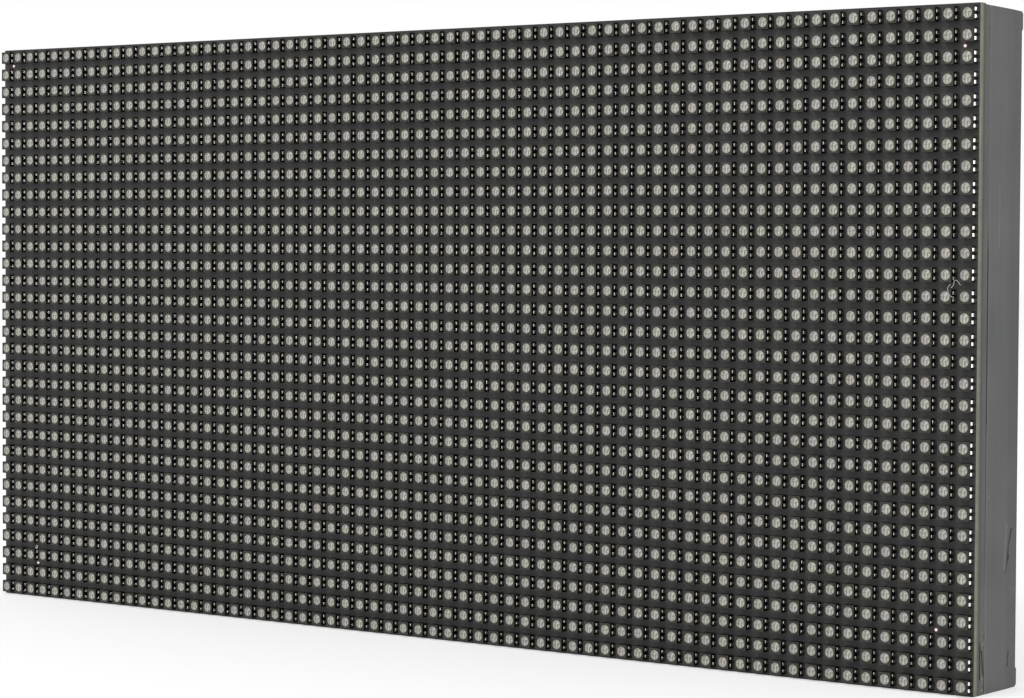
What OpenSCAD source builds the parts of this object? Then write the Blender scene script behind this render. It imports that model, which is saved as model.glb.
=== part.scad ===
// LED dot matrix module: a grid of surface-mount LED packages soldered to the
// front of a circuit board. The drive electronics and sockets sit on the board's
// back, inside a moulded frame that stiffens the board and carries the threads
// that the module is hung by.
// Axes: +X to a viewer's right, +Z up, the LEDs face -Y.
// Origin: middle of the underside, halfway through the depth. Millimetres.

/* [Display] */
// Distance between the centres of neighbouring LEDs
pitch = 3; // [2.8:0.1:4]
// LEDs in each row
columns = 64; // [60:4:80]
// Rows of LEDs, in two halves that are scanned together
rows = 32; // [32:2:40]
// Gap that the board's edge leaves to the edge of its tile, so that modules butt
edge_gap = 0.1; // [0:0.05:0.25]

/* [LED package] */
// Width of the black package
package_w = 1.9; // [1.8:0.1:2.4]
// Length of the black package, along its column
package_l = 2; // [1.8:0.1:2.4]
// Height of the package above the board
package_h = 1.2; // [0.9:0.1:1.6]
// Diameter of the round cup that the resin fills
cup_d = 1.5; // [1.2:0.05:1.6]
// Depth of the cup
cup_depth = 0.6; // [0.3:0.05:0.8]
// Depth of the resin's surface below the rim of the cup
resin_drop = 0.05; // [0.05:0.05:0.2]

/* [LED board] */
// Thickness of the glass-fibre board
board_t = 1.6; // [1.2:0.1:2]

/* [Rear frame] */
// Depth of the frame from the board's back to its rear rim
frame_d = 10.9; // [10.6:0.1:14]
// Width of the channel that runs round the edge
rail_w = 12; // [11:0.5:14]
// Thickness of the outer wall
wall_t = 1.8; // [1.5:0.1:2.2]
// Thickness of the inner walls and cross ribs
rib_t = 1.6; // [1.2:0.1:2]
// Thickness of the web that lies against the board
web_t = 1.5; // [1:0.1:2]
// Longest stretch of channel without a cross rib
rib_spacing = 18; // [12:1:24]
// Distance of each upright bar's middle from the centre line
bar_x = 29; // [26:1:32]
// Width of each upright bar
bar_w = 10; // [9.8:0.1:11]
// Radius in the corners of the windows
window_r = 2; // [1:0.5:4]
// Depth of the lip that the board sits against
lip_d = 1.2; // [1:0.1:2]
// Width of the shadow groove behind the lip
groove_w = 0.3; // [0.2:0.05:0.6]
// Depth of the shadow groove
groove_depth = 0.6; // [0.3:0.1:0.8]
// Length of the sloping band at the rear of the outer wall
band_d = 3.2; // [1.5:0.1:4]
// How far the sloping band leans in at the rim
band_inset = 0.05; // [0.05:0.05:0.6]
// How far the top wall stays below the board's top edge
top_drop = 0.15; // [0.05:0.05:0.4]
// How far the top wall slopes down from the board to the rim
top_lean = 0.25; // [0.1:0.05:0.6]
// Radius in the corners of the landing pads
corner_r = 0.4; // [0.2:0.1:1]
// Side of the solid post in each corner
post_w = 2.8; // [2.5:0.1:4]
// Height of the landing pads above the rim
pad_h = 0.3; // [0.2:0.05:0.6]

/* [Fixings] */
// Distance from the tile's edge to the mounting and rail screw centres
fixing_inset = 6; // [5.8:0.1:6.4]
// Diameter of the boss round a threaded insert
insert_boss_d = 9.4; // [9:0.1:10]
// Outside diameter of a brass insert
insert_d = 4.6; // [4.2:0.1:5]
// Length of a brass insert
insert_l = 5; // [4:0.5:6]
// Diameter of the thread bore in an insert, an M3 core
insert_bore = 2.5; // [2.4:0.05:2.6]
// Width of the groove between an insert's two knurled rings
insert_groove_w = 1; // [0.6:0.1:1.4]
// Depth of that groove
insert_groove_depth = 0.3; // [0.2:0.05:0.4]
// Diameter of the boss round a frame screw
screw_boss_d = 9.2; // [8.8:0.1:9.6]
// Distance of the rail screws from the centre line
rail_screw_x = 46; // [42:1:50]
// Diameter of a frame screw's shank
screw_d = 2.5; // [2.2:0.1:2.6]
// Length of a frame screw under its head
screw_l = 4; // [3.8:0.1:4.2]
// Diameter of a frame screw's head
screw_head_d = 4.6; // [4.2:0.1:5]
// Height of a frame screw's head
screw_head_h = 1.7; // [1.4:0.1:2]
// Outside diameter of a nut soldered to the board
nut_d = 4.4; // [4:0.1:4.8]
// Height of a soldered nut
nut_h = 2.5; // [2.4:0.1:2.8]
// Thickness of plastic that a frame screw clamps
clamp_t = 1.8; // [1.6:0.1:2.2]

/* [Signal headers] */
// Distance of each signal header outwards from the middle of its window
header_offset = 7; // [4:0.5:10]
// Pins in each of a signal header's two rows
header_pins = 8; // [6:1:9]
// Distance between neighbouring pins
header_pitch = 2.54; // [2:0.01:2.54]
// Length of shroud beyond the end pins, both ends together
header_ends = 10.16; // [9:0.01:11]
// Width of the shroud
header_w = 8.9; // [8.5:0.1:9.4]
// Height of the shroud above the board
header_h = 9.1; // [8.5:0.1:10]
// Thickness of the shroud's walls
header_wall = 1.2; // [1:0.1:1.5]
// Thickness of the shroud's floor
header_floor = 2.6; // [2:0.1:3]
// Width of the slot for a plug's key
key_w = 4.5; // [4:0.1:5]
// Side of a square signal pin
pin_w = 0.64; // [0.5:0.02:0.7]
// Depth of a pin's tip below the shroud's mouth
pin_recess = 0.9; // [0.5:0.1:1.5]
// Length of the solder foot that shows beside the shroud
pin_foot_l = 1.8; // [1.2:0.1:2.2]
// Thickness of a solder foot, on the power pins too
foot_t = 0.4; // [0.3:0.05:0.5]

/* [Power header] */
// Pins in the power header
power_pins = 4; // [3:1:4]
// Distance between its pins
power_pitch = 3.96; // [3.5:0.01:4.2]
// Length of its base beyond the end pins, both ends together
power_ends = 3.9; // [3.5:0.1:4.5]
// Width of its base
power_w = 7.6; // [7:0.1:8.5]
// Height of its base
power_base_h = 3.4; // [3:0.1:4]
// Height of its latching wall
power_wall_h = 9.2; // [8.5:0.1:10]
// Thickness of its latching wall
power_wall_t = 1.1; // [0.9:0.1:1.4]
// Width of the notches that a plug's hooks catch in
power_notch_w = 2.6; // [2:0.1:3]
// Height of those notches
power_notch_h = 2; // [1.5:0.1:2.5]
// Side of a square power pin
power_pin_w = 1.14; // [1:0.02:1.2]
// Depth of a power pin's tip below the top of the wall
power_pin_recess = 0.4; // [0:0.1:1]
// Length of the solder foot that shows beside the base
power_foot_l = 2.4; // [1.6:0.1:3]

/* [Chips] */
// Width of every narrow chip's body
chip_w = 3.9; // [3.6:0.1:4.2]
// Height of every narrow chip's body
chip_h = 1.5; // [1.3:0.05:1.7]
// Length of a driver chip's body
driver_l = 8.65; // [8:0.05:9]
// Length of a row switch chip's body
switch_l = 4.9; // [4.6:0.1:5.2]
// Length of a row decoder chip's body
decoder_l = 9.9; // [9:0.1:10.4]
// Length of a line buffer chip's body
buffer_l = 12.8; // [12:0.1:13.2]
// Width of a line buffer chip's body
buffer_w = 7.5; // [7:0.1:7.8]
// Height of a line buffer chip's body
buffer_h = 2.3; // [2:0.1:2.5]
// Distance of the outer row of chips from the edge of the windows
chip_inset = 4.8; // [3.5:0.1:5.5]
// Distance between two rows of driver chips
driver_rise = 10; // [8:0.5:11]
// Distance between neighbouring row switch chips
switch_step = 10; // [8:0.5:10.5]
// Distance of the line buffers inwards from the middle of the side windows
buffer_offset = 9.5; // [9:0.5:12]
// Space between two line buffers
buffer_gap = 3.2; // [2:0.1:4]

/* [Small parts] */
// Length of a small resistor or ceramic capacitor
small_l = 1.6; // [1.2:0.1:2]
// Width of a small resistor or ceramic capacitor
small_w = 0.8; // [0.6:0.05:1]
// Height of a small resistor
resistor_h = 0.45; // [0.35:0.05:0.6]
// Height of a ceramic capacitor
ceramic_h = 0.8; // [0.6:0.05:1]
// Space from a driver chip's end to the middle of the small part beside it
small_gap = 2; // [1.5:0.1:2.3]

/* [Bulk capacitors] */
// Diameter of a bulk capacitor's can
can_d = 8; // [6.3:0.1:8.4]
// Height of a bulk capacitor above the board
can_h = 10; // [8:0.1:10.4]
// Height of the plastic base above the board
base_h = 1.2; // [0.9:0.1:1.5]
// Thickness of a terminal
tab_t = 0.2; // [0.15:0.05:0.3]
// Distance of each capacitor from the upright centre line
can_x = 14; // [13:0.5:15]
// Distance of each capacitor from the level centre line
can_z = 6; // [5.5:0.5:8]

/* [Hidden] */

// Overlap that keeps a cutting tool clear of the face it leaves
cut = 1;
// Running clearance between a screw or nut and the hole round it
clearance = 0.2;
// Clearance between a screw's shank and the bore of its nut
thread_gap = 0.02;
// Space between a solder foot and the plastic above it
foot_gap = 0.05;
// Smoothness of round parts
fine = 48;
medium = 32;
coarse = 24;

// Overall sizes
board_w = columns * pitch - 2 * edge_gap;
board_h = rows * pitch - 2 * edge_gap;
mid_z = board_h / 2;
depth = package_h + board_t + frame_d + pad_h;
y_front = -depth / 2;
y_board = y_front + package_h;
y_back = y_board + board_t;
y_rim = y_back + frame_d;
y_pad = y_rim + pad_h;

// Fixing centres, as [x, z] from the middle of the board
fixing_x = columns * pitch / 2 - fixing_inset;
fixing_z = rows * pitch / 2 - fixing_inset;
insert_places = [for (x = [-fixing_x, 0, fixing_x], z = [-fixing_z, fixing_z]) [x, z]];
screw_places = concat(
  [for (x = [-rail_screw_x, rail_screw_x], z = [-fixing_z, fixing_z]) [x, z]],
  [for (x = [-fixing_x, -bar_x, bar_x, fixing_x]) [x, 0]]
);

// Windows in the frame
window_top = mid_z - rail_w;
side_window = [bar_x + bar_w / 2, board_w / 2 - rail_w];
side_window_w = side_window[1] - side_window[0];
side_window_x = (side_window[0] + side_window[1]) / 2;
middle_window = bar_x - bar_w / 2;

// Chips and small parts, as [x, z] from the middle of the board
driver_columns = 3;
driver_step = side_window_w / driver_columns;
outer_row = window_top - chip_inset;
inner_row = outer_row - driver_rise;
driver_places = [
  for (side = [-1, 1], i = [-1 : 1], half = [-1, 1], row = [outer_row, inner_row])
    [side * side_window_x + i * driver_step, half * row]
];
small_offset = [driver_l / 2 + small_gap, 0];
switch_places = [
  for (i = [-1.5 : 1.5], half = [-1, 1]) [i * switch_step, half * outer_row]
];
decoder_places = [[0, -inner_row], [0, inner_row]];
buffer_x = side_window_x - buffer_offset;
buffer_z = (buffer_l + buffer_gap) / 2;
buffer_places = [[buffer_x, -buffer_z], [buffer_x, buffer_z], [-buffer_x, 0]];
can_places = [for (x = [-can_x, can_x], z = [-can_z, can_z]) [x, z]];

// Headers
header_x = side_window_x + header_offset;
header_l = (header_pins - 1) * header_pitch + header_ends;
header_cheek_l = 2.2;
power_l = (power_pins - 1) * power_pitch + power_ends;
power_cheek_l = 1.2;

// Places local +Z out of the display, +Y up and +X to the right, on the board's front
module on_front(x, z) {
  translate([x, y_board, z]) rotate([90, 0, 0]) children();
}

// Places local +Z rearwards and +Y up on the board's back, from [x, z] about its middle
module on_back(place) {
  translate([place[0], y_back, mid_z + place[1]]) rotate([90, 0, 180]) children();
}

// A block centred on X and Y that stands on Z = 0
module block(size) {
  translate([-size[0] / 2, -size[1] / 2, 0]) cube(size);
}

// A flat outline with round corners, centred
module round_rect(size, r) {
  for (sx = [-1, 1], sy = [-1, 1])
    translate([sx * (size[0] / 2 - r), sy * (size[1] / 2 - r)]) circle(r = r, $fn = medium);
  square([size[0] - 2 * r, size[1]], center = true);
  square([size[0], size[1] - 2 * r], center = true);
}

// ---- LED packages -------------------------------------------------------------

// Repeats its child at each LED from one row up to another, counted from the bottom
module at_leds(first_row, last_row) {
  for (row = [first_row : last_row], column = [0 : columns - 1])
    on_front((column - (columns - 1) / 2) * pitch, mid_z + (row - (rows - 1) / 2) * pitch)
      children();
}

// Black package with the round cup that its resin fills
module led_package() {
  difference() {
    block([package_w, package_l, package_h]);
    translate([0, 0, package_h - cup_depth])
      cylinder(d = cup_d, h = cup_depth + cut, $fn = coarse);
  }
}

// Resin that fills the cup almost to its rim
module led_lens() {
  translate([0, 0, package_h - cup_depth])
    cylinder(d = cup_d, h = cup_depth - resin_drop, $fn = coarse);
}

module led_packages_upper() {
  color("#3a3a38") at_leds(rows / 2, rows - 1) led_package();
}

module led_packages_lower() {
  color("#3a3a38") at_leds(0, rows / 2 - 1) led_package();
}

module led_lenses_upper() {
  color("#b4b1a8") at_leds(rows / 2, rows - 1) led_lens();
}

module led_lenses_lower() {
  color("#b4b1a8") at_leds(0, rows / 2 - 1) led_lens();
}

// ---- Board --------------------------------------------------------------------

module led_board() {
  color("#3b3b39") translate([-board_w / 2, y_board, 0]) cube([board_w, board_t, board_h]);
}

// ---- Rear frame ---------------------------------------------------------------

// One flank of the outer wall, as [distance from the middle, depth behind the board]
function flank(half, drop, lean) = [
  for (p = [
    [0, 0],
    [0, lip_d],
    [groove_depth, lip_d],
    [groove_depth, lip_d + groove_w],
    [0, lip_d + groove_w],
    [0, frame_d - band_d],
    [band_inset, frame_d]
  ]) [half - drop - lean * p[1] / frame_d - p[0], p[1]]
];

// Two flanks, as one closed outline
function section(one, other) = concat(
  one,
  [for (i = [len(other) - 1 : -1 : 0]) [-other[i][0], other[i][1]]]
);

// The solid that the outer wall bounds, with its lip, groove and sloping band
module frame_envelope() {
  side = flank(board_w / 2, 0, 0);
  top = flank(mid_z, top_drop, top_lean);
  intersection() {
    translate([0, y_back, -cut]) linear_extrude(board_h + 2 * cut) polygon(section(side, side));
    translate([-board_w / 2 - cut, y_back, mid_z]) rotate([90, 0, 90])
      linear_extrude(board_w + 2 * cut)
        polygon([for (p = section(top, flank(mid_z, 0, 0))) [p[1], p[0]]]);
  }
}

// A window right through the frame, between two X places
module window(from_x, to_x) {
  translate([(from_x + to_x) / 2, y_rim + cut, mid_z]) rotate([90, 0, 0])
    linear_extrude(frame_d + 2 * cut) round_rect([to_x - from_x, 2 * window_top], window_r);
}

// Pockets in line along local X, with ribs between them, centred. They run from the
// web to past the rim.
module pockets(length, width) {
  count = ceil(length / rib_spacing);
  pocket_l = (length - (count - 1) * rib_t) / count;
  for (i = [0 : count - 1])
    translate([-length / 2 + i * (pocket_l + rib_t), -width / 2, web_t])
      cube([pocket_l, width, frame_d]);
}

// The pockets of the channel round the edge and of the two bars
module channel_pockets() {
  rail_pocket = rail_w - wall_t - rib_t;
  rail_middle = wall_t + rail_pocket / 2;
  for (s = [-1, 1]) {
    on_back([0, s * (mid_z - rail_middle)]) pockets(board_w - 2 * wall_t, rail_pocket);
    on_back([s * (board_w / 2 - rail_middle), 0]) rotate(90) pockets(2 * window_top, rail_pocket);
    on_back([s * bar_x, 0]) rotate(90) pockets(2 * window_top, bar_w - 2 * rib_t);
  }
}

// Solid posts in the corners, from behind the groove to the landing pads on their ends
module corner_posts() {
  from_z = lip_d + groove_w;
  inset = band_inset + post_w / 2;
  for (sx = [-1, 1], z = [inset - mid_z, mid_z - top_drop - top_lean - inset])
    on_back([sx * (board_w / 2 - inset), z])
      translate([0, 0, from_z]) linear_extrude(frame_d + pad_h - from_z)
        round_rect([post_w, post_w], corner_r);
}

// Bosses for the inserts, which stand on the web and end in landing pads
module insert_bosses() {
  for (place = insert_places)
    on_back(place) translate([0, 0, web_t / 2])
      cylinder(d = insert_boss_d, h = frame_d + pad_h - web_t / 2, $fn = fine);
}

// Bosses for the frame screws, which end at the rim
module screw_bosses() {
  for (place = screw_places)
    on_back(place) translate([0, 0, web_t / 2])
      cylinder(d = screw_boss_d, h = frame_d - web_t / 2, $fn = fine);
}

// Stepped hole for a frame screw: the nut's pocket, the shank's hole and the head's well
module screw_hole() {
  translate([0, 0, -cut]) cylinder(d = nut_d + 2 * clearance, h = nut_h + cut, $fn = fine);
  cylinder(d = screw_d + 2 * clearance, h = frame_d, $fn = fine);
  translate([0, 0, nut_h + clamp_t])
    cylinder(d = screw_head_d + 4 * clearance, h = frame_d, $fn = fine);
}

module rear_frame() {
  color("#646463") difference() {
    union() {
      difference() {
        frame_envelope();
        window(-side_window[1], -side_window[0]);
        window(-middle_window, middle_window);
        window(side_window[0], side_window[1]);
        channel_pockets();
      }
      corner_posts();
      insert_bosses();
      screw_bosses();
    }
    for (place = insert_places)
      on_back(place) translate([0, 0, frame_d + pad_h - insert_l])
        cylinder(d = insert_d, h = insert_l + cut, $fn = fine);
    for (place = screw_places) on_back(place) screw_hole();
  }
}

// ---- Fixings ------------------------------------------------------------------

// Brass insert: two knurled rings with a groove between them, flush with its pad
module mounting_inserts() {
  color("#b5924c") for (place = insert_places)
    on_back(place) translate([0, 0, frame_d + pad_h - insert_l])
      rotate_extrude($fn = fine) polygon([
        [insert_bore / 2, 0],
        [insert_d / 2, 0],
        [insert_d / 2, (insert_l - insert_groove_w) / 2],
        [insert_d / 2 - insert_groove_depth, (insert_l - insert_groove_w) / 2],
        [insert_d / 2 - insert_groove_depth, (insert_l + insert_groove_w) / 2],
        [insert_d / 2, (insert_l + insert_groove_w) / 2],
        [insert_d / 2, insert_l],
        [insert_bore / 2, insert_l]
      ]);
}

module board_nuts() {
  color("#c9c7c0") for (place = screw_places)
    on_back(place) difference() {
      cylinder(d = nut_d, h = nut_h, $fn = fine);
      translate([0, 0, -cut])
        cylinder(d = screw_d + 2 * thread_gap, h = nut_h + 2 * cut, $fn = coarse);
    }
}

// Pan-head screw with a cross recess, its head on the clamped plastic
module frame_screw() {
  crown = 0.5;
  recess_w = 0.7;
  recess_l = 2.6;
  recess_d = 0.9;
  difference() {
    rotate_extrude($fn = fine) polygon([
      [0, -screw_l],
      [screw_d / 2, -screw_l],
      [screw_d / 2, 0],
      [screw_head_d / 2, 0],
      [screw_head_d / 2, screw_head_h - crown],
      [screw_head_d / 2 - crown, screw_head_h],
      [0, screw_head_h]
    ]);
    for (turn = [0, 90])
      rotate(turn) translate([0, 0, screw_head_h - recess_d])
        block([recess_l, recess_w, recess_d + cut]);
  }
}

module frame_screws() {
  color("#8f8f8d") for (place = screw_places)
    on_back(place) translate([0, 0, nut_h + clamp_t]) frame_screw();
}

// ---- Signal headers -----------------------------------------------------------

// Places its child at each pin of a signal header, with +X away from the other row
module at_header_pins() {
  for (side = [-1, 1], i = [0 : header_pins - 1])
    translate([0, (i - (header_pins - 1) / 2) * header_pitch, 0])
      mirror([side < 0 ? 1 : 0, 0, 0]) children();
}

// Shroud that a flat-cable plug enters, keyed by the slot in its +X wall
module signal_shroud() {
  standoff = foot_t + foot_gap;
  floor_z = standoff + header_floor;
  difference() {
    union() {
      translate([0, 0, standoff]) block([header_w, header_l, header_h - standoff]);
      for (s = [-1, 1])
        translate([0, s * (header_l - header_cheek_l) / 2, 0])
          block([header_w, header_cheek_l, floor_z]);
    }
    translate([0, 0, floor_z])
      block([header_w - 2 * header_wall, header_l - 2 * header_wall, header_h]);
    translate([header_w / 2, 0, floor_z]) block([header_w, key_w, header_h]);
    at_header_pins() translate([header_pitch / 2, 0, -cut]) block([pin_w, pin_w, header_h]);
  }
}

// Square pins that bend outwards under the shroud to their solder feet
module signal_pins() {
  at_header_pins() {
    translate([header_pitch / 2, 0, 0]) block([pin_w, pin_w, header_h - pin_recess]);
    translate([(header_pitch - pin_w) / 2, -pin_w / 2, 0])
      cube([(header_w - header_pitch + pin_w) / 2 + pin_foot_l, pin_w, foot_t]);
  }
}

module signal_in_shroud() {
  color("#1d1d1e") on_back([header_x, 0]) rotate(180) signal_shroud();
}

module signal_in_pins() {
  color("#c8b46e") on_back([header_x, 0]) signal_pins();
}

module signal_out_shroud() {
  color("#1d1d1e") on_back([-header_x, 0]) rotate(180) signal_shroud();
}

module signal_out_pins() {
  color("#c8b46e") on_back([-header_x, 0]) signal_pins();
}

// ---- Power header -------------------------------------------------------------

module at_power_pins() {
  for (i = [0 : power_pins - 1])
    translate([0, (i - (power_pins - 1) / 2) * power_pitch, 0]) children();
}

// White base with a latching wall along one side, notched for the plug's two hooks
module power_header() {
  standoff = foot_t + foot_gap;
  color("#e4e0d4") on_back([0, 0]) difference() {
    union() {
      translate([0, 0, standoff]) block([power_w, power_l, power_base_h - standoff]);
      for (s = [-1, 1])
        translate([0, s * (power_l - power_cheek_l) / 2, 0])
          block([power_w, power_cheek_l, power_base_h]);
      translate([-power_w / 2, -power_l / 2, standoff])
        cube([power_wall_t, power_l, power_wall_h - standoff]);
    }
    for (s = [-1, 1])
      translate([-power_w / 2, s * power_pitch, power_wall_h - power_wall_t - power_notch_h])
        block([4 * power_wall_t, power_notch_w, power_notch_h]);
    at_power_pins() translate([0, 0, -cut]) block([power_pin_w, power_pin_w, power_wall_h]);
  }
}

module power_pins() {
  color("#cfcfca") on_back([0, 0]) at_power_pins() {
    block([power_pin_w, power_pin_w, power_wall_h - power_pin_recess]);
    translate([-power_pin_w / 2, -power_pin_w / 2, 0])
      cube([(power_w + power_pin_w) / 2 + power_foot_l, power_pin_w, foot_t]);
  }
}

// ---- Chips and small parts ----------------------------------------------------

// Moulded chip body with the dimple that marks its first lead
module chip(length, width, height) {
  dimple_d = 0.9;
  dimple_depth = 0.15;
  dimple_inset = 1;
  difference() {
    block([length, width, height]);
    translate([dimple_inset - length / 2, dimple_inset - width / 2, height - dimple_depth])
      cylinder(d = dimple_d, h = dimple_depth + cut, $fn = coarse);
  }
}

module driver_chips() {
  color("#232324") for (place = driver_places) on_back(place) chip(driver_l, chip_w, chip_h);
}

module row_switch_chips() {
  color("#232324") for (place = switch_places) on_back(place) chip(switch_l, chip_w, chip_h);
}

module row_decoder_chips() {
  color("#232324") for (place = decoder_places) on_back(place) chip(decoder_l, chip_w, chip_h);
}

// Two line buffers beside the input header and one beside the output header
module line_buffer_chips() {
  color("#232324") for (place = buffer_places)
    on_back(place) rotate(90) chip(buffer_l, buffer_w, buffer_h);
}

// One resistor at one end of each driver chip
module current_set_resistors() {
  color("#3c3a38") for (place = driver_places)
    on_back(place - small_offset) block([small_w, small_l, resistor_h]);
}

// One ceramic capacitor at the other end of each driver chip
module decoupling_capacitors() {
  color("#b08d64") for (place = driver_places)
    on_back(place + small_offset) block([small_w, small_l, ceramic_h]);
}

// ---- Bulk capacitors ----------------------------------------------------------

// Width of the square base
base_w = can_d + 0.3;

// Plastic base with two cut corners that show the polarity
module bulk_capacitor_bases() {
  corner = 1.6;
  half = base_w / 2;
  color("#1d1d1e") for (place = can_places)
    on_back(place) translate([0, 0, tab_t]) linear_extrude(base_h - tab_t) polygon([
      [-half, -half],
      [half - corner, -half],
      [half, corner - half],
      [half, half - corner],
      [half - corner, half],
      [-half, half]
    ]);
}

// Aluminium can with a crimped waist and a rounded top edge
module bulk_capacitor_cans() {
  waist = 0.35;
  waist_z = base_h + 1.2;
  crown = 0.5;
  color("#b9babb") for (place = can_places)
    on_back(place) rotate_extrude($fn = fine) polygon([
      [0, base_h],
      [can_d / 2, base_h],
      [can_d / 2, waist_z - waist],
      [can_d / 2 - waist, waist_z],
      [can_d / 2, waist_z + waist],
      [can_d / 2, can_h - crown],
      [can_d / 2 - crown, can_h],
      [0, can_h]
    ]);
}

// Two flat terminals under each base, which reach out past it
module bulk_capacitor_tabs() {
  tab_w = 0.9;
  tab_l = 3.4;
  color("#cfcfca") for (place = can_places, s = [-1, 1])
    on_back(place) translate([s * (base_w / 2 - tab_l / 2 + 0.6), 0, 0])
      block([tab_l, tab_w, tab_t]);
}

led_packages_upper();
led_packages_lower();
led_lenses_upper();
led_lenses_lower();
led_board();
rear_frame();
mounting_inserts();
board_nuts();
frame_screws();
signal_in_shroud();
signal_in_pins();
signal_out_shroud();
signal_out_pins();
power_header();
power_pins();
driver_chips();
row_switch_chips();
row_decoder_chips();
line_buffer_chips();
current_set_resistors();
decoupling_capacitors();
bulk_capacitor_bases();
bulk_capacitor_cans();
bulk_capacitor_tabs();
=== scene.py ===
"""Dresses the LED dot matrix module: finishes, leads, solder, marks, lint and a studio."""

import logging
import math
from collections.abc import Iterable, Sequence
from dataclasses import dataclass
from enum import Enum

import bmesh
import bpy
from mathutils import Matrix, Vector


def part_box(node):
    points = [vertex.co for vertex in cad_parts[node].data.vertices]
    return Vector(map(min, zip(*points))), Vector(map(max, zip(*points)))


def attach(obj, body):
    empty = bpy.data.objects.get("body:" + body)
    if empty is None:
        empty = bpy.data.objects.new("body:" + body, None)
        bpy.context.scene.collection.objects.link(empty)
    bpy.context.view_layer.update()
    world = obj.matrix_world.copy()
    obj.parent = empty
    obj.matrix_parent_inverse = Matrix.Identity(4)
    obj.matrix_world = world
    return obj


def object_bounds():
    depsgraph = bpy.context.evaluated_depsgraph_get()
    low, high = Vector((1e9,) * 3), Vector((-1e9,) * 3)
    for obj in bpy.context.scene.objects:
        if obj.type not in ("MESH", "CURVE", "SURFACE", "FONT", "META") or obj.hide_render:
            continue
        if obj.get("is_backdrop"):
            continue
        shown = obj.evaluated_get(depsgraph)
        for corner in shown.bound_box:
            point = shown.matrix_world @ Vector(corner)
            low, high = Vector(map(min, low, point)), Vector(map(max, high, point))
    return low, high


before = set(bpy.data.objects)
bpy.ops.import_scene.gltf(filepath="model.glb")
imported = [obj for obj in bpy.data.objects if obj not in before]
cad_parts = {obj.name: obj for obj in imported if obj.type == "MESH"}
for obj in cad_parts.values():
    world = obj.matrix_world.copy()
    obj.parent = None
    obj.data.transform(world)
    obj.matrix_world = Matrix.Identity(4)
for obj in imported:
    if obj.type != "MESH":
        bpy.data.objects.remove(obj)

log = logging.getLogger("module")

Colour = tuple[float, float, float]
Point = tuple[float, float, float]
Pair = tuple[float, float]
Socket = bpy.types.NodeSocket
Value = float | Socket

MM = 0.001
WELD = 0.0005 * MM
DIGITS = 5
SMOOTH_BELOW = math.radians(40)
OUT_OF_FRONT = Matrix.Rotation(math.radians(90), 4, "X")
OUT_OF_BACK = Matrix.Rotation(math.radians(-90), 4, "X")


def tone(red: float, green: float, blue: float) -> Colour:
    """Turns a screen colour into the linear colour that a shader takes.

    Args:
        red: The red level, from 0 to 255.
        green: The green level.
        blue: The blue level.

    Returns:
        The linear colour.
    """

    def linear(level: float) -> float:
        """Returns one channel without the sRGB curve."""
        share = level / 255
        return share / 12.92 if share <= 0.04045 else ((share + 0.055) / 1.055) ** 2.4

    return linear(red), linear(green), linear(blue)


# ---- Finishes ---------------------------------------------------------------------


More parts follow.
